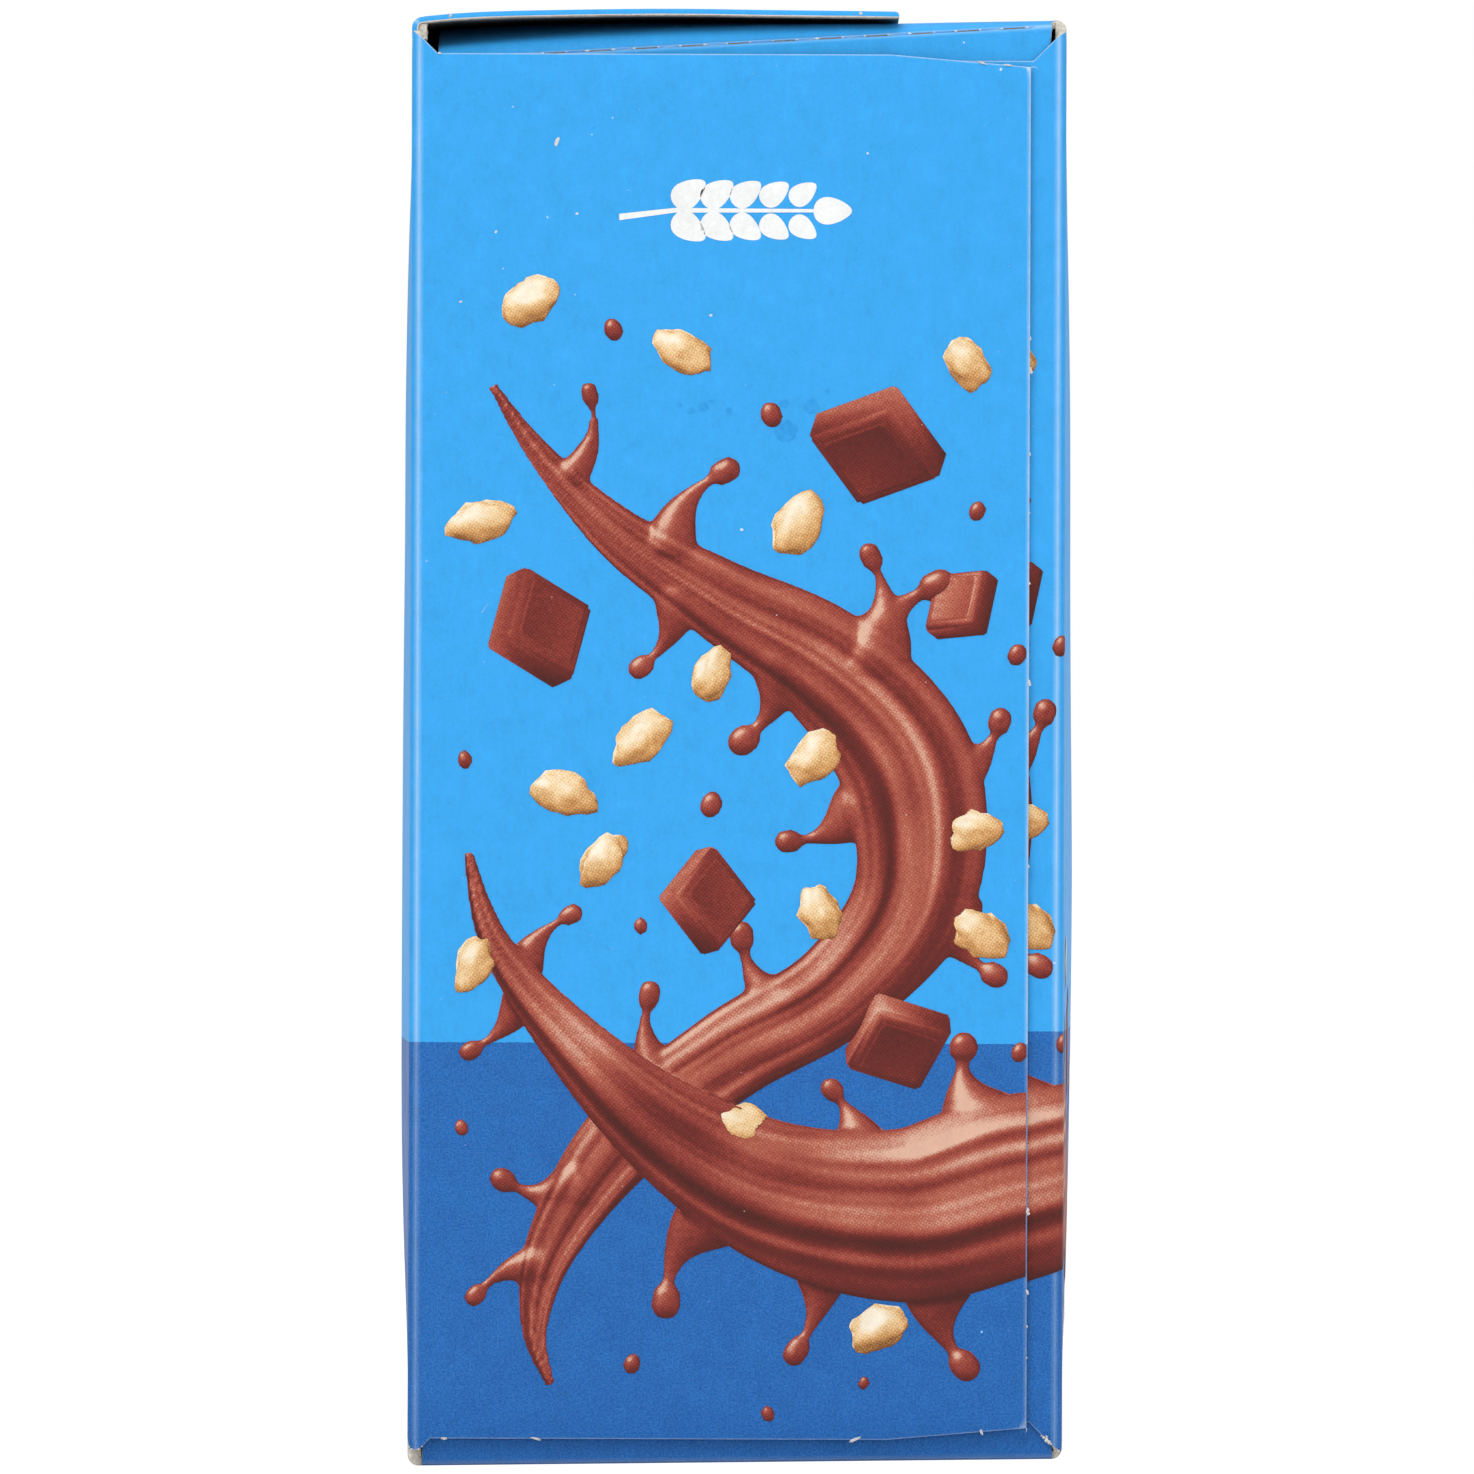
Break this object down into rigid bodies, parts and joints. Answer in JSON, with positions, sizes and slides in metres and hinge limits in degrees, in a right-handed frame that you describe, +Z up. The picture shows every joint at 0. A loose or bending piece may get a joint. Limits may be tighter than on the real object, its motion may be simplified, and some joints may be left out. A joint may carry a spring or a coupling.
{
  "type": "cereal bar pack",
  "caption": "Shut folding carton for wrapped cereal bars, with glued end flaps, lapped lid panel and a perforated tear-open crease; printed board, slightly skewed and bulging.",
  "frame": {"origin": "on the floor under the middle of the carton's bounding box", "axes": "+X across the carton's depth, from the panel that carries the outer end flaps to the opposite one; +Y along the bars, from the worn end to the other end; +Z up"},
  "size_m": [0.0379, 0.13, 0.0791],
  "materials": {
    "printed_board": "satin printed board, light blue over a darker blue base band",
    "printed_flap": "satin printed board with a chocolate and oat flake design"
  },
  "bodies": {
    "root": {"carton_body": "printed_board", "top_outer_lap": "printed_board", "near_outer_end_flap": "printed_flap", "near_inner_end_flap": "printed_flap", "near_top_dust_flap": "printed_board", "near_bottom_dust_flap": "printed_board", "far_outer_end_flap": "printed_flap", "far_inner_end_flap": "printed_flap", "far_top_dust_flap": "printed_board", "far_bottom_dust_flap": "printed_board"}
  },
  "joints": []
}
